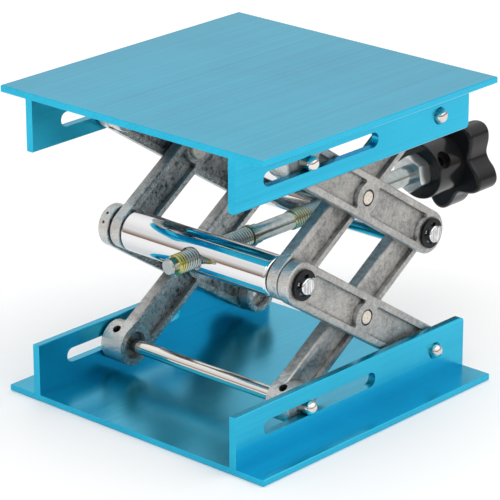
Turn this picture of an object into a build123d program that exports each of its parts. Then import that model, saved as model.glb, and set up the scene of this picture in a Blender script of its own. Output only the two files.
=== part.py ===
from build123d import *
from math import cos, pi, radians, sin
import os

os.makedirs("parts", exist_ok=True)

# Scissor lab jack with 100 mm square plates. Millimetres, +Z up, +Y towards the knob, +X to the right.
# The origin is the centre of the base plate's underside. The jack stands at about two thirds of its height.

# --- plates: one aluminium extrusion, used twice ------------------------------------------------
PLATE_SIDE = 100.0
PLATE_THICK = 2.0
FLANGE_THICK = 2.5
FLANGE_HEIGHT = 15.5
FLANGE_INNER = 37.4          # from the centre plane to a flange's inner face
CORNER_ROUND = 1.5           # rear free corner of each flange
EDGE_BREAK = 0.25
BORE_BREAK = 0.45            # chamfer round each rear pin hole

# --- linkage: eight equal arms, four pivots on each long arm line --------------------------------
LINK = 66.7                  # end pivot to end pivot
REST_ANGLE = 33.0            # arm slope as the jack stands
PIVOT_LIFT = 10.7            # pivot above the outer face of its plate
PIVOT_REAR = 36.7            # rear pivots, from the centre
SLOT_FRONT, SLOT_REAR = -38.7, 9.4
PIN_R = 2.1
PIN_START = 31.4             # blind inner ends of the rear pins
PIN_TIP = 42.0               # domed ends of the pins and sliding rods
PIN_DOME = 1.75
FLANGE_BORE_R = PIN_R + 0.08
SLOT_WIDTH = 2 * PIN_R + 0.2
FIXED_FIT = 0.03             # radial room of a pin that a set screw or a peened head holds
RUNNING_FIT = 0.06           # radial room of a shaft that turns

# --- arms ---------------------------------------------------------------------------------------
INNER_LAYER = (28.6, 32.6)   # inner arms, from the centre plane
OUTER_LAYER = (33.0, 37.0)   # outer arms
BOSS_REACH = (28.6, 37.0)    # the long boss of either arm fills both layers
INNER_WIDTH = 12.0
OUTER_WIDTH = 12.8
INNER = (*INNER_LAYER, INNER_WIDTH)
OUTER = (*OUTER_LAYER, OUTER_WIDTH)
BOSS_R = 6.2
ARM_ROUND = 0.6
POCKET_RIM = 2.1             # flange of the I section
POCKET_DEPTH = 1.35
POCKET_ROUND = 0.6
DRAFT = 8.0                  # slope of the pocket walls, in degrees
BOSS_PAD, PLAIN_PAD, MIDDLE_PAD = 6.6, 5.4, 4.7
COUNTERBORE_R, COUNTERBORE_DEPTH = 4.2, 2.0
RIVET_R, RIVET_HEAD_R, RIVET_HEAD, RIVET_END = 2.0, 3.2, 0.9, 0.15
RIVET_PLAY = 0.05            # between a rivet's head and the arm that turns under it
RIVET_ROUND = 0.35
RIVET_SINK_R, RIVET_SINK = 2.5, 0.7   # the sunk ring round a rivet's outer end
SCREW_HOLE_R, SCREW_R, SCREW_LENGTH, SCREW_SINK = 1.3, 1.25, 2.8, 0.8
SOCKET_FLATS, SOCKET_DEPTH = 1.5, 1.2
MARK_R, MARK_DEPTH = 0.45, 0.6        # punch marks in the edge of one arm
MARK_ANGLES = (130, 156)              # from +Y towards +Z

# --- cross bars ---------------------------------------------------------------------------------
BAR_R = 6.1
BAR_HALF = 28.2
BAR_ROUND = 1.0
JOURNAL_R = 2.5
JOURNAL_TIP = 39.4
JOURNAL_ROUND = 0.5
GROOVE_R = 2.0
RING_FACE, RING_THICK, RING_R = 37.2, 0.7, 4.5
RING_BAND = 1.3              # radial width of a retaining ring between its tongues
RING_MOUTH = 4.9             # gap at its open side
RING_MOUTH_DEPTH = 5.0
RING_MOUTH_TURN = -20.0      # from +Y towards +Z
TONGUE_LENGTH, TONGUE_WIDTH = 1.8, 1.9
RING_PLAY = 0.05             # the groove is wider than the ring by this
COUNTERSINK = 1.25           # wider than the cross hole, all round
COUNTERSINK_SLOPE = 44.0

# --- spindle and knob, along Y ------------------------------------------------------------------
THREAD_R = 2.97              # M6, plain cylinder to its crest
SHANK_R = 3.0
WAIST_R = 2.65
DOG_R = 2.45
STOP_GROOVE_R = 2.4
CROSS_BORE_R = 3.05
SPINDLE_CHAMFER = 0.4
SPINDLE_TIP, FRONT_THREAD = -34.7, -32.2
STOP_START, STOP_END = -1.4, 0.0
WAIST_START, REAR_THREAD = 2.6, 17.0
SHANK_START, SHANK_END, SPINDLE_END = 50.0, 70.5, 91.0
STOP_RING_R, STOP_PLAY = 3.4, 0.1
NUT_FRONT, NUT_THICK, NUT_FLATS, NUT_TURN = 71.6, 5.0, 10.0, 38.0
NUT_CHAMFER = 0.45
HUB_FRONT, HUB_R, HUB_ROUND = 76.7, 9.0, 0.6
STAR_FRONT, STAR_REAR, STAR_ROUND = 88.5, 98.2, 1.2
STAR_R, STAR_WAVE, STAR_LOBES, STAR_TURN = 13.3, 2.3, 5, 51.0
STAR_POINTS = 8              # spline points on each lobe
INSERT_R, INSERT_END = 5.0, 89.5
KNOB_SCREW_Y, KNOB_SCREW_TURN, KNOB_SCREW_R, KNOB_SCREW_LENGTH = 79.9, 31.0, 1.5, 3.0
KNOB_RECESS_R, KNOB_RECESS_FLOOR = 2.8, 7.0
KNOB_END_ROOM = 0.3          # behind the spindle's end, inside the knob

# --- pivots, as (y, z) --------------------------------------------------------------------------
SPAN = LINK * cos(radians(REST_ANGLE))
RISE = LINK * sin(radians(REST_ANGLE))
HEIGHT = 2 * PIVOT_LIFT + 2 * RISE
PIVOT_FRONT = PIVOT_REAR - SPAN
BASE_REAR = (PIVOT_REAR, PIVOT_LIFT)
BASE_FRONT = (PIVOT_FRONT, PIVOT_LIFT)
MID_REAR = (PIVOT_REAR, PIVOT_LIFT + RISE)
MID_FRONT = (PIVOT_FRONT, PIVOT_LIFT + RISE)
TOP_REAR = (PIVOT_REAR, PIVOT_LIFT + 2 * RISE)
TOP_FRONT = (PIVOT_FRONT, PIVOT_LIFT + 2 * RISE)
AXIS_Z = MID_FRONT[1]        # height of the spindle
SIDES = (("left", -1), ("right", 1))
NEAR = 0.01                  # slack when an edge is picked by its place
OVERRUN = 1.0                # how far a cut or a joined step runs past a face


def save(piece, name):
    """Labels a finished piece and writes it."""
    piece.part.label = name
    export_step(piece.part, f"parts/{name}.step")


def turned_x(side, centre, steps):
    """Adds turned steps (radius, start, stop) along X, measured outwards from the centre plane."""
    for radius, start, stop in steps:
        with BuildSketch(Plane(origin=(side * start, *centre), z_dir=(side, 0, 0))) as disc:
            Circle(radius)
        extrude(disc.sketch, amount=stop - start)


def turned_y(steps, mode=Mode.ADD):
    """Adds or cuts turned steps (radius, start, stop) along the spindle's axis."""
    for radius, start, stop in steps:
        with BuildSketch(Plane(origin=(0, start, AXIS_Z), z_dir=(0, 1, 0))) as disc:
            Circle(radius)
        extrude(disc.sketch, amount=stop - start, mode=mode)


def spindle_direction(turn):
    """The unit vector square to the spindle, at an angle from +X towards +Z."""
    return Vector(cos(radians(turn)), 0, sin(radians(turn)))


# --- plates -------------------------------------------------------------------------------------
def flanged_plate(name, outer_z, up):
    """A plate with two inset flanges; up is 1 where they stand up and -1 where they hang."""
    flange_far = FLANGE_INNER + FLANGE_THICK
    flange_middle = FLANGE_INNER + FLANGE_THICK / 2
    foot = outer_z + up * PLATE_THICK
    with BuildPart() as plate:
        with BuildSketch(Plane.XZ.offset(-PLATE_SIDE / 2)):
            with Locations((0, outer_z + up * PLATE_THICK / 2)):
                Rectangle(PLATE_SIDE, PLATE_THICK)
            for _, side in SIDES:
                with Locations((side * flange_middle, foot + up * FLANGE_HEIGHT / 2)):
                    Rectangle(FLANGE_THICK, FLANGE_HEIGHT)
        extrude(amount=PLATE_SIDE)
        long_edges = plate.edges().filter_by(Axis.Y)
        outside = long_edges.filter_by(lambda e: abs(abs(e.center().X) - PLATE_SIDE / 2) < NEAR)
        rims = long_edges.filter_by(lambda e: abs(e.center().Z - foot - up * FLANGE_HEIGHT) < NEAR)
        ends = plate.edges().filter_by(Axis.X).filter_by(lambda e: abs(e.length - PLATE_SIDE) < NEAR)
        chamfer(outside + rims + ends, length=EDGE_BREAK)
        corners = plate.edges().filter_by(Axis.X).filter_by(
            lambda e: abs(e.center().Z - foot - up * FLANGE_HEIGHT) < NEAR and e.center().Y > 0
        )
        fillet(corners, radius=CORNER_ROUND)
        for _, side in SIDES:
            start = (side * FLANGE_INNER, 0, outer_z + up * PIVOT_LIFT)
            inner_face = Plane(origin=start, x_dir=(0, 1, 0), z_dir=(side, 0, 0))
            with BuildSketch(inner_face):
                with Locations(((SLOT_FRONT + SLOT_REAR) / 2, 0)):
                    SlotOverall(SLOT_REAR - SLOT_FRONT, SLOT_WIDTH)
                with Locations((PIVOT_REAR, 0)):
                    Circle(FLANGE_BORE_R)
            extrude(amount=FLANGE_THICK, mode=Mode.SUBTRACT)
            rear_rim = plate.edges().filter_by(GeomType.CIRCLE).filter_by(
                lambda e: abs(e.arc_center.X - side * flange_far) < NEAR
                and abs(e.arc_center.Y - PIVOT_REAR) < NEAR
            )
            chamfer(rear_rim, length=BORE_BREAK)
    save(plate, name)


flanged_plate("base_plate", 0.0, 1)
flanged_plate("top_plate", HEIGHT, -1)


# --- arms ---------------------------------------------------------------------------------------
def link_plane(side, x, start, end):
    """A plane at x, with its origin on the start pivot and its own X towards the end pivot."""
    return Plane(
        origin=(side * x, *start),
        x_dir=(0, end[0] - start[0], end[1] - start[1]),
        z_dir=(side, 0, 0),
    )


def screw_direction(start, end, up):
    """The direction square to a link that points up (1) or down (-1), as a vector."""
    along = Vector(0, end[0] - start[0], end[1] - start[1]).normalized()
    square = Vector(0, -along.Z, along.Y)
    return square if square.Z * up > 0 else -square


def set_screw_plane(side, start, end, up):
    """A plane through the boss's middle whose own Z runs out along the set screw."""
    middle = sum(BOSS_REACH) / 2
    return Plane(origin=(side * middle, *start), x_dir=(1, 0, 0), z_dir=screw_direction(start, end, up))


def arm(name, side, boss_pivot, plain_pivot, blank, middle_fit, up, mark_angles=()):
    """A die-cast arm: an I-section blade, a long boss on its first pivot and a plain eye on its last."""
    near, far, width = blank
    boss_near, boss_far = BOSS_REACH
    with BuildPart() as blade:
        with BuildSketch(link_plane(side, near, boss_pivot, plain_pivot)):
            with Locations((LINK / 2, 0)):
                SlotCenterToCenter(LINK, width)
        extrude(amount=far - near)
        fillet(blade.faces().filter_by(Axis.X).edges(), radius=ARM_ROUND)
        with BuildSketch(link_plane(side, boss_near, boss_pivot, plain_pivot)):
            Circle(BOSS_R)
        extrude(amount=boss_far - boss_near)
        free_end = boss_near if near > boss_near else boss_far
        boss_rim = blade.edges().filter_by(GeomType.CIRCLE).filter_by(
            lambda e: abs(abs(e.center().X) - free_end) < NEAR and abs(e.radius - BOSS_R) < NEAR
        )
        fillet(boss_rim, radius=ARM_ROUND)
        for face_x, inwards in ((near, 1), (far, -1)):
            with BuildSketch(link_plane(side, face_x, boss_pivot, plain_pivot)) as pockets:
                with Locations((LINK / 2, 0)):
                    Rectangle(LINK, width - 2 * POCKET_RIM)
                Circle(BOSS_PAD, mode=Mode.SUBTRACT)
                with Locations((LINK / 2, 0)):
                    Circle(MIDDLE_PAD, mode=Mode.SUBTRACT)
                with Locations((LINK, 0)):
                    Circle(PLAIN_PAD, mode=Mode.SUBTRACT)
                fillet(pockets.vertices(), radius=POCKET_ROUND)
            extrude(amount=inwards * POCKET_DEPTH, taper=DRAFT, mode=Mode.SUBTRACT)
        with BuildSketch(link_plane(side, boss_near, boss_pivot, plain_pivot)):
            Circle(PIN_R + FIXED_FIT)
        extrude(amount=boss_far - boss_near, mode=Mode.SUBTRACT)
        with BuildSketch(link_plane(side, boss_near, boss_pivot, plain_pivot)):
            Circle(COUNTERBORE_R)
        extrude(amount=COUNTERBORE_DEPTH, mode=Mode.SUBTRACT)
        with BuildSketch(link_plane(side, near, boss_pivot, plain_pivot)):
            with Locations((LINK / 2, 0)):
                Circle(RIVET_R + middle_fit)
            with Locations((LINK, 0)):
                Circle(JOURNAL_R + RUNNING_FIT)
        extrude(amount=far - near, mode=Mode.SUBTRACT)
        if blank == OUTER:
            with BuildSketch(link_plane(side, far, boss_pivot, plain_pivot)):
                with Locations((LINK / 2, 0)):
                    Circle(RIVET_SINK_R)
            extrude(amount=-RIVET_SINK, mode=Mode.SUBTRACT)
        with BuildSketch(set_screw_plane(side, boss_pivot, plain_pivot, up)):
            Circle(SCREW_HOLE_R)
        extrude(amount=BOSS_R + OVERRUN, mode=Mode.SUBTRACT)
        for angle in mark_angles:
            outwards = Vector(0, cos(radians(angle)), sin(radians(angle)))
            floor = Vector(side * (near + far) / 2, *plain_pivot) + outwards * (width / 2 - MARK_DEPTH)
            with BuildSketch(Plane(origin=floor, z_dir=outwards)):
                Circle(MARK_R)
            extrude(amount=MARK_DEPTH + OVERRUN, mode=Mode.SUBTRACT)
    save(blade, name)


for side_name, side in SIDES:
    marks = MARK_ANGLES if side_name == "left" else ()
    arm(f"lower_outer_arm_{side_name}", side, BASE_REAR, MID_FRONT, OUTER, FIXED_FIT, 1, marks)
    arm(f"lower_inner_arm_{side_name}", side, BASE_FRONT, MID_REAR, INNER, RUNNING_FIT, 1)
    arm(f"upper_inner_arm_{side_name}", side, TOP_REAR, MID_FRONT, INNER, FIXED_FIT, -1)
    arm(f"upper_outer_arm_{side_name}", side, TOP_FRONT, MID_REAR, OUTER, RUNNING_FIT, -1)


# --- pins, rods, rivets and set screws ----------------------------------------------------------
def domed_tips(piece, side):
    """Rounds the outer end of a pin or rod on one side."""
    tip = piece.edges().filter_by(GeomType.CIRCLE).sort_by(Axis.X)[-1 if side > 0 else 0]
    fillet(tip, radius=PIN_DOME)


def set_screws(name, start, end, up):
    """A pair of socket set screws, one in each boss, run down onto the pin or rod."""
    head = BOSS_R - SCREW_SINK
    with BuildPart() as screws:
        for _, side in SIDES:
            plane = set_screw_plane(side, start, end, up)
            with BuildSketch(plane.offset(head - SCREW_LENGTH)):
                Circle(SCREW_R)
            extrude(amount=SCREW_LENGTH)
            with BuildSketch(plane.offset(head)):
                RegularPolygon(SOCKET_FLATS / 2, 6, major_radius=False)
            extrude(amount=-SOCKET_DEPTH, mode=Mode.SUBTRACT)
    save(screws, name)


for level, rear, front, middle_front, up in (
    ("lower", BASE_REAR, BASE_FRONT, MID_FRONT, 1),
    ("upper", TOP_REAR, TOP_FRONT, MID_FRONT, -1),
):
    crossing = ((rear[0] + middle_front[0]) / 2, (rear[1] + middle_front[1]) / 2)
    for side_name, side in SIDES:
        with BuildPart() as rear_pin:
            turned_x(side, rear, [(PIN_R, PIN_START, PIN_TIP)])
            domed_tips(rear_pin, side)
        save(rear_pin, f"{level}_rear_pin_{side_name}")

        with BuildPart() as rivet:
            inside, outside = INNER_LAYER[0] - RIVET_PLAY, OUTER_LAYER[1] + RIVET_END
            turned_x(
                side,
                crossing,
                [
                    (RIVET_HEAD_R, inside - RIVET_HEAD, inside),
                    (RIVET_R, inside, outside),
                ],
            )
            rims = rivet.edges().filter_by(GeomType.CIRCLE).sort_by(Axis.X)
            fillet([rims[0], rims[-1]], radius=RIVET_ROUND)
        save(rivet, f"{level}_centre_rivet_{side_name}")

    with BuildPart() as slide_rod:
        turned_x(1, front, [(PIN_R, -PIN_TIP, PIN_TIP)])
        for _, side in SIDES:
            domed_tips(slide_rod, side)
    save(slide_rod, f"{level}_slide_rod")

set_screws("lower_pin_set_screws", BASE_REAR, MID_FRONT, 1)
set_screws("lower_rod_set_screws", BASE_FRONT, MID_REAR, 1)
set_screws("upper_pin_set_screws", TOP_REAR, MID_FRONT, -1)
set_screws("upper_rod_set_screws", TOP_FRONT, MID_REAR, -1)


# --- cross bars and their retaining rings -------------------------------------------------------
def cross_bar(name, centre):
    """A turned bar with a journal at each end and a tapped hole across its middle for the spindle."""
    with BuildPart() as bar:
        turned_x(1, centre, [(BAR_R, -BAR_HALF, BAR_HALF)])
        fillet(bar.edges().filter_by(GeomType.CIRCLE), radius=BAR_ROUND)
        for _, side in SIDES:
            turned_x(
                side,
                centre,
                [
                    (JOURNAL_R, BAR_HALF, RING_FACE),
                    (GROOVE_R, RING_FACE, RING_FACE + RING_THICK + RING_PLAY),
                    (JOURNAL_R, RING_FACE + RING_THICK + RING_PLAY, JOURNAL_TIP),
                ],
            )
        rims = bar.edges().filter_by(GeomType.CIRCLE).sort_by(Axis.X)
        fillet([rims[0], rims[-1]], radius=JOURNAL_ROUND)
        reach = BAR_R + OVERRUN
        turned_y([(CROSS_BORE_R, centre[0] - reach, centre[0] + reach)], mode=Mode.SUBTRACT)
        for direction in (-1, 1):
            mouth = Plane(origin=(0, centre[0] + direction * BAR_R, AXIS_Z), z_dir=(0, -direction, 0))
            with BuildSketch(mouth):
                Circle(CROSS_BORE_R + COUNTERSINK)
            extrude(amount=COUNTERSINK, taper=COUNTERSINK_SLOPE, mode=Mode.SUBTRACT)
    save(bar, name)


def retaining_ring(name, side, centre):
    """A flat E ring: a band with three inward tongues and a mouth towards the rear."""
    mouth = (0, cos(radians(RING_MOUTH_TURN)), sin(radians(RING_MOUTH_TURN)))
    with BuildPart() as ring:
        with BuildSketch(Plane(origin=(side * RING_FACE, *centre), x_dir=mouth, z_dir=(side, 0, 0))):
            Circle(RING_R)
            Circle(RING_R - RING_BAND, mode=Mode.SUBTRACT)
            with Locations((RING_R + OVERRUN - RING_MOUTH_DEPTH / 2, 0)):
                Rectangle(RING_MOUTH_DEPTH, RING_MOUTH, mode=Mode.SUBTRACT)
            with PolarLocations(GROOVE_R + OVERRUN, 3, start_angle=60, angular_range=240):
                Rectangle(TONGUE_LENGTH, TONGUE_WIDTH)
            Circle(GROOVE_R + FIXED_FIT, mode=Mode.SUBTRACT)
        extrude(amount=RING_THICK)
    save(ring, name)


for bar_name, bar_centre in (("front", MID_FRONT), ("rear", MID_REAR)):
    cross_bar(f"{bar_name}_cross_bar", bar_centre)
    for side_name, side in SIDES:
        retaining_ring(f"{bar_name}_retaining_ring_{side_name}", side, bar_centre)


# --- spindle, lock nut and knob -----------------------------------------------------------------
with BuildPart() as spindle:
    turned_y([(DOG_R, SPINDLE_TIP, FRONT_THREAD)])
    chamfer(spindle.edges().filter_by(GeomType.CIRCLE).sort_by(Axis.Y)[0], length=SPINDLE_CHAMFER)
    turned_y([(THREAD_R, FRONT_THREAD, STOP_START)])
    thread_start = spindle.edges().filter_by(lambda e: abs(e.center().Y - FRONT_THREAD) < NEAR)
    chamfer(thread_start.sort_by(SortBy.LENGTH)[-1], length=SPINDLE_CHAMFER)
    turned_y(
        [
            (STOP_GROOVE_R, STOP_START, STOP_END),
            (THREAD_R, STOP_END, WAIST_START),
            (WAIST_R, WAIST_START, REAR_THREAD),
            (THREAD_R, REAR_THREAD, SHANK_START),
            (SHANK_R, SHANK_START, SHANK_END),
            (THREAD_R, SHANK_END, SPINDLE_END),
        ]
    )
save(spindle, "spindle")

with BuildPart() as stop_ring:
    with BuildSketch(Plane(origin=(0, STOP_START + STOP_PLAY, AXIS_Z), x_dir=(1, 0, 0), z_dir=(0, 1, 0))):
        Circle(STOP_RING_R)
        Circle(STOP_GROOVE_R + RUNNING_FIT, mode=Mode.SUBTRACT)
        with Locations((-STOP_RING_R, 0)):
            Rectangle(STOP_RING_R, STOP_GROOVE_R, mode=Mode.SUBTRACT)
    extrude(amount=STOP_END - STOP_START - 2 * STOP_PLAY)
save(stop_ring, "spindle_stop_ring")

with BuildPart() as lock_nut:
    turned_y([(NUT_FLATS / 2 / cos(pi / 6), NUT_FRONT, NUT_FRONT + NUT_THICK)])
    chamfer(lock_nut.edges().filter_by(GeomType.CIRCLE), length=NUT_CHAMFER)
    front_face = Plane(origin=(0, NUT_FRONT, AXIS_Z), x_dir=spindle_direction(NUT_TURN), z_dir=(0, 1, 0))
    with BuildSketch(front_face):
        RegularPolygon(NUT_FLATS / 2, 6, major_radius=False)
    extrude(amount=NUT_THICK, mode=Mode.INTERSECT)
    turned_y([(SHANK_R + FIXED_FIT, NUT_FRONT, NUT_FRONT + NUT_THICK)], mode=Mode.SUBTRACT)
save(lock_nut, "knob_lock_nut")


def hub_plane(distance):
    """A plane square to the knob's set screw, at a distance from the spindle's axis."""
    outwards = spindle_direction(KNOB_SCREW_TURN)
    middle = Vector(0, KNOB_SCREW_Y, AXIS_Z)
    return Plane(origin=middle + outwards * distance, x_dir=(0, 1, 0), z_dir=outwards)


# The knob is one moulding: a round hub over the brass insert, and a five-lobed star behind it.
with BuildPart() as knob:
    with BuildSketch(Plane(origin=(0, STAR_FRONT, AXIS_Z), x_dir=(1, 0, 0), z_dir=(0, -1, 0))):
        with BuildLine():
            outline = []
            for turn in range(0, 360, 360 // (STAR_LOBES * STAR_POINTS)):
                radius = STAR_R + STAR_WAVE * cos(radians(STAR_LOBES * (turn - STAR_TURN)))
                outline.append((radius * cos(radians(turn)), radius * sin(radians(turn))))
            Spline(*outline, periodic=True)
        make_face()
    extrude(amount=STAR_FRONT - STAR_REAR)
    fillet(knob.edges().filter_by(GeomType.BSPLINE), radius=STAR_ROUND)
    turned_y([(HUB_R, HUB_FRONT, STAR_FRONT + OVERRUN)])
    fillet(knob.edges().filter_by(GeomType.CIRCLE).sort_by(Axis.Y)[0], radius=HUB_ROUND)
    with BuildSketch(hub_plane(KNOB_RECESS_FLOOR)):
        Circle(KNOB_RECESS_R)
    extrude(amount=HUB_R, mode=Mode.SUBTRACT)
    with BuildSketch(hub_plane(0)):
        Circle(KNOB_SCREW_R + 2 * FIXED_FIT)
    extrude(amount=HUB_R, mode=Mode.SUBTRACT)
    turned_y([(INSERT_R + FIXED_FIT, HUB_FRONT, INSERT_END)], mode=Mode.SUBTRACT)
    turned_y([(THREAD_R + FIXED_FIT, INSERT_END, SPINDLE_END + KNOB_END_ROOM)], mode=Mode.SUBTRACT)
save(knob, "knob")

with BuildPart() as insert:
    turned_y([(INSERT_R, HUB_FRONT, INSERT_END)])
    turned_y([(THREAD_R + FIXED_FIT, HUB_FRONT, INSERT_END)], mode=Mode.SUBTRACT)
    with BuildSketch(hub_plane(0)):
        Circle(KNOB_SCREW_R + FIXED_FIT)
    extrude(amount=INSERT_R + OVERRUN, mode=Mode.SUBTRACT)
save(insert, "knob_insert")

with BuildPart() as knob_screw:
    with BuildSketch(hub_plane(THREAD_R + FIXED_FIT)):
        Circle(KNOB_SCREW_R)
    extrude(amount=KNOB_SCREW_LENGTH)
    with BuildSketch(hub_plane(THREAD_R + FIXED_FIT + KNOB_SCREW_LENGTH)):
        RegularPolygon(SOCKET_FLATS / 2, 6, major_radius=False)
    extrude(amount=-SOCKET_DEPTH, mode=Mode.SUBTRACT)
save(knob_screw, "knob_set_screw")
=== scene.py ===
from math import cos, radians, sin, tau

import bmesh
import bpy
from mathutils import Matrix, Vector


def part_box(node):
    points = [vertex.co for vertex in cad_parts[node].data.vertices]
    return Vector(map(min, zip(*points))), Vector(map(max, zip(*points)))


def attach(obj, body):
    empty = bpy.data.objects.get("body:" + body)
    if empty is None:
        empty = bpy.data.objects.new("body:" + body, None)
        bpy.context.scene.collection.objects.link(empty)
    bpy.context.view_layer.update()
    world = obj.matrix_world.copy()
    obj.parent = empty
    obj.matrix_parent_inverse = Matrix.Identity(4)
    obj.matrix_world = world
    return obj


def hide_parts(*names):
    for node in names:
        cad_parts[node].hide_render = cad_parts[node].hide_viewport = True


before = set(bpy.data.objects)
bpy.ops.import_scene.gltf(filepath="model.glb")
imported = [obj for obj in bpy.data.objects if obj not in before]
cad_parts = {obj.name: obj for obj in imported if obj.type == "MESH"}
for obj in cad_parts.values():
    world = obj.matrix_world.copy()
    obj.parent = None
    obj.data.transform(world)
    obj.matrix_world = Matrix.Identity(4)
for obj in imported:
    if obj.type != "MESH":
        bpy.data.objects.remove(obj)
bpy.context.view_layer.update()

MM = 0.001
LEVELS = ("lower", "upper")
BARS = ("front", "rear")
SIDES = ("left", "right")
PIVOT_HOLDERS = (
    "lower_slide_rod", "lower_rear_pin_right", "front_cross_bar",
    "upper_slide_rod", "upper_rear_pin_right", "rear_cross_bar",
)

# --- the spindle that is rebuilt here: metres, places along it counted from its tip ---------------
PITCH = 1.0 * MM
THREAD_DEPTH = 0.5 * MM
ROOT_FLAT, CREST_FLAT = (0.0, 0.12), (0.44, 0.62)            # start and end of each flat, in pitches
THREAD_SPANS = ((2.5 * MM, 33.3 * MM, 1), (51.7 * MM, 84.7 * MM, -1))    # start, end, hand
STOP_GROOVE = (33.3 * MM, 34.7 * MM, 2.4 * MM)                           # start, end, radius
SHOULDER_END = 37.3 * MM
DOG_R = 2.45 * MM
DOG_CHAMFER = 0.4 * MM
WAIST_R = 2.65 * MM
SHANK_RELIEF = 0.02 * MM
CHAMFER_SLOPE, RUN_OUT_SLOPE = 1.0, 0.35                 # change of radius over length
AROUND = 48                       # sides of each ring
SHARP_ANGLE = radians(32)
WELD = 1e-7

# --- colours, linear ------------------------------------------------------------------------------
DEEP_BLUE, PALE_BLUE = (0.002, 0.385, 0.60), (0.014, 0.50, 0.735)
CAST_BRIGHT, CAST_GREY = (0.68, 0.665, 0.635), (0.27, 0.27, 0.265)
# the darkest cast colour serves the stains and also the painted shade on inward faces and in inner corners
CAST_DULL, CAST_STAIN_AND_SHADE = (0.34, 0.36, 0.365), (0.05, 0.05, 0.053)
ROD_CHROME, BAR_CHROME, PIN_STEEL = (0.74, 0.71, 0.67), (0.78, 0.78, 0.79), (0.66, 0.63, 0.60)
RIVET_PALE, RIVET_PIT = (0.74, 0.68, 0.59), (0.42, 0.33, 0.26)
SPINDLE_ZINC, RING_ZINC, NUT_ZINC = (0.42, 0.47, 0.46), (0.34, 0.38, 0.33), (0.66, 0.70, 0.70)
CHROMATE, BRASS = (0.50, 0.47, 0.13), (0.65, 0.50, 0.22)
OXIDE_BLACK, KNOB_BLACK = (0.02, 0.02, 0.022), (0.009, 0.009, 0.010)
FLOOR_WHITE = (0.95, 0.95, 0.95)

# --- what the materials share ---------------------------------------------------------------------
UNIT = (0.0, 1.0)
NOISE_RANGE = (0.3, 0.7)          # the values of a noise that a range of effects is spread over
CLOUD_RANGE = (0.35, 0.65)        # a narrower one, for more contrast
SIDE_FACE = (0.6, 0.85)           # X parts of the normal between which side faces give way to flat ones
POCKET_TO_RIM = (0.9 * MM, 1.7 * MM)      # from the middle layer, between pocket floor and rim
WEAR_AND_HIGHLIGHT_FADE = (6.9 * MM, 8.2 * MM)          # from a pivot's axis, where the wear and the painted highlight round it fade out
OUTER_MIDDLE, INNER_MIDDLE = 35.0 * MM, 30.6 * MM            # middle layers of the arms, in X
OUTER_OUTWARD_SHARE, INNER_OUTWARD_SHARE = 0.30, 0.55     # share of the dark patches that an arm's outward side keeps; its inward side keeps them all, as painted shade
# how far the painted shade in inner corners reaches
CREVICE_REACH = 1.6 * MM

# roughness: a metal whose range crosses 0.27 can get dashes or blotches from the denoiser
POLISH, BAR_POLISH, SATIN, OXIDE_ROUGH, FLOOR_ROUGH = 0.10, 0.06, 0.2, 0.38, 0.6
BLUE_ROUGH, KNOB_ROUGH = (0.22, 0.262), (0.14, 0.26)
CAST_ROUGH, RIVET_ROUGH = (0.30, 0.44), (0.55, 0.32)
POCKET_ROUGH, BAR_END_ROUGH = 0.05, 0.17                     # added in pockets, on bar ends
WORN_POLISH, INWARD_POLISH = 0.20, 0.12                      # taken off worn and inward faces

FILM_SPANS = (                    # the spindle's yellow film: start and end from its tip, strength
    (1.2 * MM, 5.6 * MM, 1.0),
    (32.0 * MM, 36.0 * MM, 0.35),
    (51.0 * MM, 58.0 * MM, 0.5),
)
FILM_EDGE = 1.2 * MM              # how softly the yellow film begins and ends

# --- studio ---------------------------------------------------------------------------------------
FLOOR_HALF = 3.0
HORIZON, SKY_LOW, SKY_HIGH = (0.20, 0.13, 0.09), (0.68, 0.68, 0.68), (1.0, 1.0, 1.0)
SKY_STOPS = (                     # sine of the elevation, colour
    (0.0, HORIZON),
    (0.05, HORIZON),
    (0.36, SKY_LOW),
    (0.50, SKY_LOW),
    (1.0, SKY_HIGH),
)
SKY_STRENGTH = 1.3
LIGHT_TARGET = Vector((0, 0.01, 0.045))
LIGHTS = (                        # name, direction, distance, size, watts
    ("key", (0.1, -0.4, 1.0), 2.0, (1.8, 1.8), 4),
    ("right_fill", (1.0, 0.3, 1.15), 2.4, (3.0, 2.4), 14.5),
)
CAMERA_PLACE = (0.53770, -0.59215, 0.34470)
CAMERA_TURN, CAMERA_RISE, CAMERA_ROLL = radians(42.25), radians(20.69), radians(-0.14)
CAMERA_LENS, CAMERA_SENSOR = 212.08, 36
CAMERA_CLIP = (0.05, 20)


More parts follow.
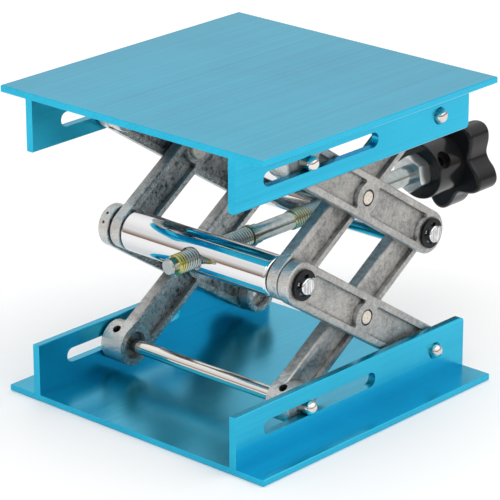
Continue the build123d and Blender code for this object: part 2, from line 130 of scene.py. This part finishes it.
class Surface:
    """A material, and the few shader nodes that the recipes below are written with."""

    def __init__(self, name, **constants):
        """Constants are values of the shader's own sockets, by name, with _ for a space."""
        self.material = bpy.data.materials.new(name)
        self.material.use_nodes = True
        self.tree = self.material.node_tree
        self.shader = self.tree.nodes["Principled BSDF"]
        for socket, value in constants.items():
            self.put(self.shader.inputs[socket.replace("_", " ")], value)

    def put(self, socket, value):
        """Links an output to a socket, or sets the socket's own value."""
        if isinstance(value, bpy.types.NodeSocket):
            self.tree.links.new(value, socket)
        elif socket.type == "RGBA":
            socket.default_value = (*value, 1.0)
        else:
            socket.default_value = value

    def node(self, kind, inputs, **settings):
        """Adds a node; inputs are keyed by the sockets' names or numbers."""
        node = self.tree.nodes.new(kind)
        for setting, value in settings.items():
            setattr(node, setting, value)
        for key, value in inputs.items():
            self.put(node.inputs[key], value)
        return node

    def feed(self, name, output):
        """Links an output to one of the shader's sockets."""
        self.put(self.shader.inputs[name], output)

    def place(self, space):
        """A vector of texture coordinates: Object for the point, Normal for the way its face looks."""
        return self.node("ShaderNodeTexCoord", {}).outputs[space]

    def axis(self, space, axis):
        """One component of those coordinates."""
        return self.node("ShaderNodeSeparateXYZ", {"Vector": self.place(space)}).outputs[axis]

    def noise(self, per_metre, stretch=(1, 1, 1), detail=4.0, rough=0.55):
        """Noise in the object's own space; stretch draws its grain out along each axis."""
        scale = tuple(per_metre / longer for longer in stretch)
        mapping = self.node("ShaderNodeMapping", {"Vector": self.place("Object"), "Scale": scale})
        inputs = {
            "Vector": mapping.outputs["Vector"],
            "Scale": 1.0,
            "Detail": detail,
            "Roughness": rough,
        }
        return self.node("ShaderNodeTexNoise", inputs).outputs["Fac"]

    def span(self, value, source, target=UNIT):
        """Maps a value from one range to another, clamped."""
        inputs = dict(enumerate((value, *source, *target)))
        return self.node("ShaderNodeMapRange", inputs).outputs["Result"]

    def maths(self, operation, first, second=0.0):
        """A Math node on one or two values."""
        return self.node("ShaderNodeMath", {0: first, 1: second}, operation=operation).outputs[0]

    def plus(self, first, second):
        return self.maths("ADD", first, second)

    def times(self, first, second):
        return self.maths("MULTIPLY", first, second)

    def larger(self, first, second):
        return self.maths("MAXIMUM", first, second)

    def blend(self, factor, first, second):
        """Mixes two colours by a factor."""
        return self.node("ShaderNodeMix", {0: factor, 6: first, 7: second}, data_type="RGBA").outputs[2]

    def bump(self, height, strength, distance):
        """Lets a height tilt the shading."""
        inputs = {"Height": height, "Strength": strength, "Distance": distance}
        self.feed("Normal", self.node("ShaderNodeBump", inputs).outputs["Normal"])


def darker(colour, factor):
    return tuple(factor * channel for channel in colour)


# --- materials ------------------------------------------------------------------------------------
def blue_anodised():
    """Blue anodised extrusion: fine die lines along Y, pale streaks and faint clouds."""
    skin = Surface("blue_anodised", Metallic=0.85, Coat_Weight=0.25, Coat_Roughness=0.2)
    lines = skin.noise(per_metre=1600, stretch=(1, 300, 1), detail=1.5)
    streaks = skin.noise(per_metre=170, stretch=(1, 60, 1), detail=2.5)
    cloud = skin.noise(per_metre=22, detail=3.0)
    drawn = skin.plus(
        skin.span(streaks, NOISE_RANGE, (-0.14, 0.14)),
        skin.span(lines, NOISE_RANGE, (-0.28, 0.28)),
    )
    tone = skin.plus(drawn, skin.span(cloud, CLOUD_RANGE, (0.3, 0.7)))
    skin.feed("Base Color", skin.blend(tone, DEEP_BLUE, PALE_BLUE))
    skin.feed("Roughness", skin.span(skin.plus(lines, streaks), (0.6, 1.4), BLUE_ROUGH))
    skin.bump(lines, strength=0.05, distance=0.01 * MM)
    return skin.material


def side_faces(skin):
    """1 on an arm's side faces and 0 on its flat faces, the ones square to X."""
    across = skin.maths("ABSOLUTE", skin.axis("Normal", "X"))
    return skin.span(across, SIDE_FACE, (1.0, 0.0))


def rims(skin, middle, sides):
    """1 on an arm's rims and side faces and 0 on its pocket floors, near the middle layer."""
    from_centre = skin.maths("ABSOLUTE", skin.axis("Object", "X"))
    from_middle = skin.maths("ABSOLUTE", skin.maths("SUBTRACT", from_centre, middle))
    return skin.larger(skin.span(from_middle, POCKET_TO_RIM), sides)


def near_pivots(skin):
    """1 round the six pivot axes, where the arms have their round ends, and 0 further out."""
    point = skin.node("ShaderNodeSeparateXYZ", {"Vector": skin.place("Object")})
    inputs = {"Y": point.outputs["Y"], "Z": point.outputs["Z"]}
    flat = skin.node("ShaderNodeCombineXYZ", inputs).outputs["Vector"]
    nearest = 1.0
    for holder in PIVOT_HOLDERS:
        low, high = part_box(holder)
        pivot = (0.0, (low.y + high.y) / 2, (low.z + high.z) / 2)
        away = skin.node("ShaderNodeVectorMath", {0: flat, 1: pivot}, operation="DISTANCE")
        nearest = skin.maths("MINIMUM", nearest, away.outputs["Value"])
    return skin.span(nearest, WEAR_AND_HIGHLIGHT_FADE, (1.0, 0.0))


def crevice_shade(skin):
    """Painted shade: 0.9 in inner corners and 0 on open faces."""
    corner = skin.node("ShaderNodeAmbientOcclusion", {"Distance": CREVICE_REACH}, samples=8)
    return skin.span(corner.outputs["AO"], (0.50, 0.86), (0.9, 0.0))


def cast_arm(name, middle, outward_patch_share):
    """Grey die casting: mottled, rougher in its pockets, worn bright round the pivots with a painted
    highlight there, darker in its pockets, with painted shade on inward faces and in inner corners.
    """
    skin = Surface(name, Metallic=0.92)
    grain = skin.noise(per_metre=2200, detail=6.0, rough=0.7)
    mottle = skin.noise(per_metre=700, detail=6.0, rough=0.65)
    stain = skin.noise(per_metre=150, detail=6.0, rough=0.65)
    sides = side_faces(skin)
    rim = rims(skin, middle, sides)
    # wear on the side faces round the pivots; the brightening it gives below is partly a painted highlight
    wear_and_highlight = skin.times(sides, near_pivots(skin))
    outward = skin.times(skin.axis("Object", "X"), skin.axis("Normal", "X"))
    inward = skin.span(outward, (-0.6 * middle, 0.2 * middle), (1.0, 0.0))

    fine = skin.span(grain, (0.36, 0.60), (0.0, 0.45))
    broad = skin.plus(
        skin.span(mottle, (0.32, 0.68), (0.0, 0.35)),
        skin.span(stain, CLOUD_RANGE, (0.0, 0.2)),
    )
    # the wear mask lightens the colour: real wear with a painted highlight on top
    speckle = skin.plus(skin.plus(fine, broad), skin.times(wear_and_highlight, 0.5))
    clean = skin.blend(speckle, CAST_GREY, CAST_BRIGHT)

    patches = skin.span(skin.plus(stain, skin.times(mottle, 0.5)), (0.63, 0.85), (1.0, 0.12))
    # dark patches, at full strength on pocket floors and at half on rims
    pocket_weighted_patches = skin.times(patches, skin.span(rim, UNIT, (1.0, 0.5)))
    # inward faces keep all the dark patches and outward faces only a share: painted shade on the inward
    # faces
    shade_and_wear_share = skin.times(skin.span(inward, UNIT, (outward_patch_share, 1.0)), skin.span(wear_and_highlight, UNIT, (1.0, 0.2)))
    # the larger of the dark patches and the painted shade in inner corners
    stains_and_shade = skin.larger(skin.times(pocket_weighted_patches, shade_and_wear_share), crevice_shade(skin))
    # the dark colour that stains and painted shade turn the casting
    dull = skin.blend(skin.span(mottle, (0.36, 0.66)), CAST_STAIN_AND_SHADE, CAST_DULL)
    skin.feed("Base Color", skin.blend(stains_and_shade, clean, dull))

    rough = skin.plus(skin.span(mottle, NOISE_RANGE, CAST_ROUGH), skin.span(rim, UNIT, (POCKET_ROUGH, 0.0)))
    polish = skin.larger(skin.times(wear_and_highlight, WORN_POLISH), skin.times(inward, INWARD_POLISH))
    skin.feed("Roughness", skin.maths("SUBTRACT", rough, polish))
    skin.bump(skin.plus(skin.times(grain, 0.45), mottle), strength=1.0, distance=0.38 * MM)
    return skin.material


def haze_over(skin, roughness, wear=0.4):
    """Gives polished metal a faint haze drawn out along X, and returns the roughness that goes with it."""
    haze = skin.noise(per_metre=300, stretch=(8, 1, 1), detail=5.0)
    skin.bump(haze, strength=0.05, distance=0.02 * MM)
    return skin.span(haze, (0.3, 0.75), (roughness * (1 - wear), roughness * (1 + wear)))


def plated(name, base, roughness, wear=0.4):
    """Polished metal with a faint haze."""
    skin = Surface(name, Base_Color=base, Metallic=1.0)
    skin.feed("Roughness", haze_over(skin, roughness, wear))
    return skin.material


def turned_chrome():
    """Polished plating whose end faces are duller, with fine dark streaks."""
    skin = Surface("turned_chrome", Metallic=1.0)
    end = skin.span(skin.maths("ABSOLUTE", skin.axis("Normal", "X")), (0.8, 0.95))
    streak = skin.noise(per_metre=1500, stretch=(1, 1, 7), detail=3.0)
    dark = skin.times(end, skin.span(streak, (0.42, 0.6), (1.0, 0.0)))
    skin.feed("Base Color", skin.blend(dark, BAR_CHROME, darker(BAR_CHROME, 0.55)))
    skin.feed("Roughness", skin.plus(haze_over(skin, BAR_POLISH), skin.times(end, BAR_END_ROUGH)))
    return skin.material


def rivet_steel():
    """Dull cream-white peened steel, lightly pitted."""
    skin = Surface("rivet_steel", Metallic=0.7)
    pits = skin.noise(per_metre=1400)
    skin.feed("Base Color", skin.blend(skin.span(pits, (0.32, 0.46)), RIVET_PIT, RIVET_PALE))
    skin.feed("Roughness", skin.span(pits, NOISE_RANGE, RIVET_ROUGH))
    skin.bump(pits, strength=0.35, distance=0.06 * MM)
    return skin.material


def zinc_plated(name, base, film_spans=()):
    """Zinc with a yellow chromate film over some stretches, given as (start, end, strength) in Y."""
    skin = Surface(name, Metallic=0.9)
    cloud = skin.noise(per_metre=420)
    y = skin.axis("Object", "Y")
    colour = skin.blend(skin.span(cloud, CLOUD_RANGE), base, darker(base, 0.85))
    for start, end, strength in film_spans:
        rises = skin.span(y, (start - FILM_EDGE, start + FILM_EDGE), (0.0, strength))
        falls = skin.span(y, (end - FILM_EDGE, end + FILM_EDGE), (1.0, 0.0))
        patchy = skin.span(skin.noise(per_metre=500, detail=2.0), (0.3, 0.6), (0.55, 1.0))
        film = skin.times(skin.times(rises, falls), patchy)
        colour = skin.blend(film, colour, CHROMATE)
    skin.feed("Base Color", colour)
    skin.feed("Roughness", skin.span(cloud, NOISE_RANGE, (0.75 * SATIN, 1.3 * SATIN)))
    skin.bump(cloud, strength=0.06, distance=0.03 * MM)
    return skin.material


def black_oxide():
    """Blackened steel."""
    skin = Surface("black_oxide", Base_Color=OXIDE_BLACK, Metallic=0.9)
    grain = skin.noise(per_metre=900, detail=5.0)
    skin.feed("Roughness", skin.span(grain, NOISE_RANGE, (0.75 * OXIDE_ROUGH, 1.25 * OXIDE_ROUGH)))
    skin.bump(grain, strength=0.15, distance=0.03 * MM)
    return skin.material


def knob_plastic():
    """Glossy black moulding with a faint orange peel and dull smears."""
    skin = Surface("knob_plastic", Base_Color=KNOB_BLACK, Specular_IOR_Level=0.32)
    smear = skin.noise(per_metre=90)
    peel = skin.noise(per_metre=450, detail=2.0)
    skin.feed("Roughness", skin.span(smear, NOISE_RANGE, KNOB_ROUGH))
    skin.bump(peel, strength=0.08, distance=0.08 * MM)
    return skin.material


def floor_white():
    """The studio floor."""
    return Surface("floor_white", Base_Color=FLOOR_WHITE, Roughness=FLOOR_ROUGH).material


def dress(material, *nodes):
    """Gives a material to CAD nodes through their slots."""
    for node in nodes:
        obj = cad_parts[node]
        if not obj.material_slots:
            obj.data.materials.append(material)
        for holder in obj.material_slots:
            holder.link = "OBJECT"
            holder.material = material


# --- the spindle with its real threads ------------------------------------------------------------
def ring_of(mesh, centre, place):
    """An open ring of vertices round the spindle's axis; place gives (y, radius) at each turn fraction."""
    ring = []
    for i in range(AROUND + 1):
        turn = i / AROUND
        y, radius = place(turn)
        x = centre.x + radius * cos(tau * turn)
        z = centre.z + radius * sin(tau * turn)
        ring.append(mesh.verts.new((x, y, z)))
    return ring


def thread_rings(mesh, centre, start, end, crest, before, after, hand):
    """Rings that follow a trapezoid thread; it starts as a chamfer and ends in a run-out cone."""
    root = crest - THREAD_DEPTH
    profile = [(offset, root) for offset in ROOT_FLAT] + [(offset, crest) for offset in CREST_FLAT]
    rings = []
    for turn_number in range(-1, round((end - start) / PITCH) + 2):
        for offset, radius in profile:

            def place(turn, shift=turn_number + offset, radius=radius):
                along = start + (shift + hand * turn) * PITCH
                y = min(max(along, start), end)
                chamfered = min(radius, before + CHAMFER_SLOPE * (y - start))
                return y, max(chamfered, after - RUN_OUT_SLOPE * (end - y))

            rings.append(ring_of(mesh, centre, place))
    return rings


def spindle_mesh():
    """The turned skin along Y: dog point, front thread, stop groove, waist, rear thread and shank."""
    low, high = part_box("spindle")
    centre = (low + high) / 2
    crest = (high.x - low.x) / 2
    root = crest - THREAD_DEPTH
    shank = crest - SHANK_RELIEF
    mesh = bmesh.new()

    def plain(from_tip, radius):
        return ring_of(mesh, centre, lambda turn: (low.y + from_tip, radius))

    def thread(start, end, hand, before, after):
        return thread_rings(mesh, centre, low.y + start, low.y + end, crest, before, after, hand)

    front, rear = THREAD_SPANS
    groove_start, groove_end, groove_r = STOP_GROOVE
    rings = [plain(0, DOG_R - DOG_CHAMFER), plain(DOG_CHAMFER, DOG_R), plain(front[0], DOG_R)]
    rings += thread(*front, DOG_R, root)
    rings += [plain(groove_start, groove_r), plain(groove_end, groove_r), plain(groove_end, shank)]
    rings += [plain(SHOULDER_END, shank), plain(SHOULDER_END, WAIST_R), plain(rear[0], WAIST_R)]
    rings += thread(*rear, WAIST_R, shank)
    rings.append(plain(high.y - low.y, shank))
    for first, second in zip(rings, rings[1:]):
        for i in range(AROUND):
            mesh.faces.new((first[i], first[i + 1], second[i + 1], second[i]))
    mesh.faces.new(rings[0][:AROUND])
    mesh.faces.new(rings[-1][:AROUND][::-1])
    bmesh.ops.remove_doubles(mesh, verts=mesh.verts, dist=WELD)
    bmesh.ops.dissolve_degenerate(mesh, edges=mesh.edges, dist=WELD)
    bmesh.ops.recalc_face_normals(mesh, faces=mesh.faces)
    return mesh


def add_to_scene(name, data):
    """An object in the scene that holds the data."""
    obj = bpy.data.objects.new(name, data)
    bpy.context.scene.collection.objects.link(obj)
    return obj


def mesh_data(name, mesh, material):
    """Mesh data with one material, from a bmesh that ends here."""
    data = bpy.data.meshes.new(name)
    mesh.to_mesh(data)
    mesh.free()
    data.materials.append(material)
    return data


def piece_from(name, mesh, material, body, replaced):
    """Finishes a built piece: smooth shading, material, body, and the CAD nodes that it stands for."""
    data = mesh_data(name, mesh, material)
    data.shade_smooth()
    data.set_sharp_from_angle(angle=SHARP_ANGLE)
    obj = add_to_scene(name, data)
    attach(obj, body)
    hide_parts(*replaced)


# --- stage ----------------------------------------------------------------------------------------
def make_floor():
    """A large pale floor under the base plate."""
    mesh = bmesh.new()
    signs = ((-1, -1), (1, -1), (1, 1), (-1, 1))
    corners = [mesh.verts.new((x * FLOOR_HALF, y * FLOOR_HALF, 0)) for x, y in signs]
    mesh.faces.new(corners)
    obj = add_to_scene("floor", mesh_data("floor", mesh, floor_white()))


def area_light(name, direction, distance, size, power):
    """A soft rectangular light that looks at the jack from a direction."""
    data = bpy.data.lights.new(name, "AREA")
    data.shape = "RECTANGLE"
    data.size, data.size_y = size
    data.energy = power
    away = Vector(direction).normalized()
    facing = away.to_track_quat("Z", "Y").to_matrix().to_4x4()
    obj = add_to_scene(name, data)
    obj.matrix_world = Matrix.Translation(LIGHT_TARGET + away * distance) @ facing


def make_world():
    """A pale grey and white sky that darkens to a warm brown at the horizon, for bright metal to reflect."""
    world = bpy.data.worlds.new("studio")
    world.use_nodes = True
    tree = world.node_tree
    background = tree.nodes["Background"]
    direction = tree.nodes.new("ShaderNodeTexCoord")
    split = tree.nodes.new("ShaderNodeSeparateXYZ")
    ramp = tree.nodes.new("ShaderNodeValToRGB")
    elements = ramp.color_ramp.elements
    while len(elements) < len(SKY_STOPS):
        elements.new(0.5)
    for element, (position, colour) in zip(elements, SKY_STOPS):
        element.position = position
        element.color = (*colour, 1.0)
    tree.links.new(direction.outputs["Generated"], split.inputs[0])
    tree.links.new(split.outputs["Z"], ramp.inputs["Fac"])
    tree.links.new(ramp.outputs["Color"], background.inputs["Color"])
    background.inputs["Strength"].default_value = SKY_STRENGTH
    bpy.context.scene.world = world


def make_camera():
    """The camera: a long lens from the front right, a little above the table."""
    right = Vector((cos(CAMERA_TURN), sin(CAMERA_TURN), 0))
    back = Vector((
        sin(CAMERA_TURN) * cos(CAMERA_RISE),
        -cos(CAMERA_TURN) * cos(CAMERA_RISE),
        sin(CAMERA_RISE),
    ))
    level = Matrix((right, back.cross(right), back)).transposed()
    rolled = (level @ Matrix.Rotation(CAMERA_ROLL, 3, "Z")).to_4x4()
    data = bpy.data.cameras.new("camera")
    data.sensor_width = CAMERA_SENSOR
    data.lens = CAMERA_LENS
    data.clip_start, data.clip_end = CAMERA_CLIP
    obj = add_to_scene("camera", data)
    obj.matrix_world = Matrix.Translation(CAMERA_PLACE) @ rolled
    bpy.context.scene.camera = obj


def dress_jack():
    """Materials for every CAD node that stays visible."""
    outer_arm = cast_arm("cast_outer_arm", OUTER_MIDDLE, OUTER_OUTWARD_SHARE)
    inner_arm = cast_arm("cast_inner_arm", INNER_MIDDLE, INNER_OUTWARD_SHARE)
    rod_chrome = plated("rod_chrome", ROD_CHROME, POLISH)
    pin_steel = plated("pin_steel", PIN_STEEL, POLISH)
    bar_chrome = turned_chrome()
    rivet = rivet_steel()
    black = black_oxide()

    dress(blue_anodised(), "base_plate", "top_plate")
    for level in LEVELS:
        for side in SIDES:
            dress(outer_arm, f"{level}_outer_arm_{side}")
            dress(inner_arm, f"{level}_inner_arm_{side}")
            dress(pin_steel, f"{level}_rear_pin_{side}")
            dress(rivet, f"{level}_centre_rivet_{side}")
        dress(rod_chrome, f"{level}_slide_rod")
        dress(black, f"{level}_pin_set_screws", f"{level}_rod_set_screws")
    for bar in BARS:
        dress(bar_chrome, f"{bar}_cross_bar")
        for side in SIDES:
            dress(black, f"{bar}_retaining_ring_{side}")
    dress(zinc_plated("dull_ring", RING_ZINC), "spindle_stop_ring")
    dress(zinc_plated("zinc_nut", NUT_ZINC), "knob_lock_nut")
    dress(knob_plastic(), "knob")
    dress(plated("brass", BRASS, SATIN, wear=0.3), "knob_insert")
    dress(black, "knob_set_screw")


def main():
    dress_jack()
    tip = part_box("spindle")[0].y
    film = [(tip + start, tip + end, strength) for start, end, strength in FILM_SPANS]
    zinc = zinc_plated("zinc_spindle", SPINDLE_ZINC, film)
    piece_from("threaded_spindle", spindle_mesh(), zinc, "spindle", ("spindle",))

    make_floor()
    make_world()
    for light in LIGHTS:
        area_light(*light)
    make_camera()
    bpy.context.scene.view_settings.view_transform = "Standard"


main()
